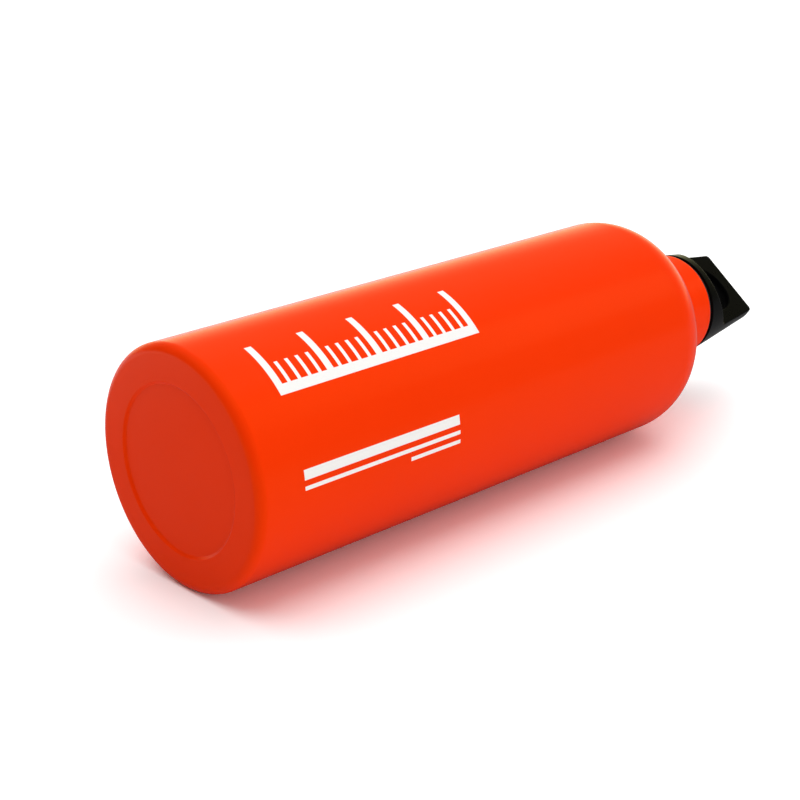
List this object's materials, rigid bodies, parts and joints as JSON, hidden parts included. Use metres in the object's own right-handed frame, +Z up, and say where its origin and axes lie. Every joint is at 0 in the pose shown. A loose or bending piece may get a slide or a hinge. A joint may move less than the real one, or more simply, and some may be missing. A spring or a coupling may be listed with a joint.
{
  "type": "camping fuel bottle",
  "caption": "Tall painted metal fuel bottle with a sloped shoulder, a short neck with a threaded mouth, a flat seal and a black screw cap with a flat finger blade and a hollow plug.",
  "frame": {"origin": "centre of the foot ring, on the axis of the bottle, in the plane that the bottle stands on", "axes": "+Z up along the axis of the bottle towards the cap, +X along the blade of the closed cap, +Y square to the blade's broad faces"},
  "size_m": [0.074, 0.074, 0.2559],
  "materials": {
    "painted_shell": "gloss",
    "bare_metal": "satin",
    "seal_rubber": "matte",
    "cap_plastic": "gloss"
  },
  "bodies": {
    "bottle": {"bottle_shell": "painted_shell", "neck_thread_ring": "bare_metal"},
    "seal": {"seal_ring": "seal_rubber"},
    "cap": {"cap": "cap_plastic"}
  },
  "joints": [
    {"name": "cap_lift", "type": "slide", "parent": "bottle", "child": "seal", "axis": [0, 0, 1], "range_m": [0, 0.019]},
    {"name": "cap_turn", "type": "hinge", "parent": "seal", "child": "cap", "pos_m": [0, 0, 0.2237], "axis": [0, 0, 1], "range_deg": [0, 1710]}
  ],
  "couplings": [
    {"joint": "cap_lift", "follows": "cap_turn", "m_per_rad": 0.00063662}
  ]
}
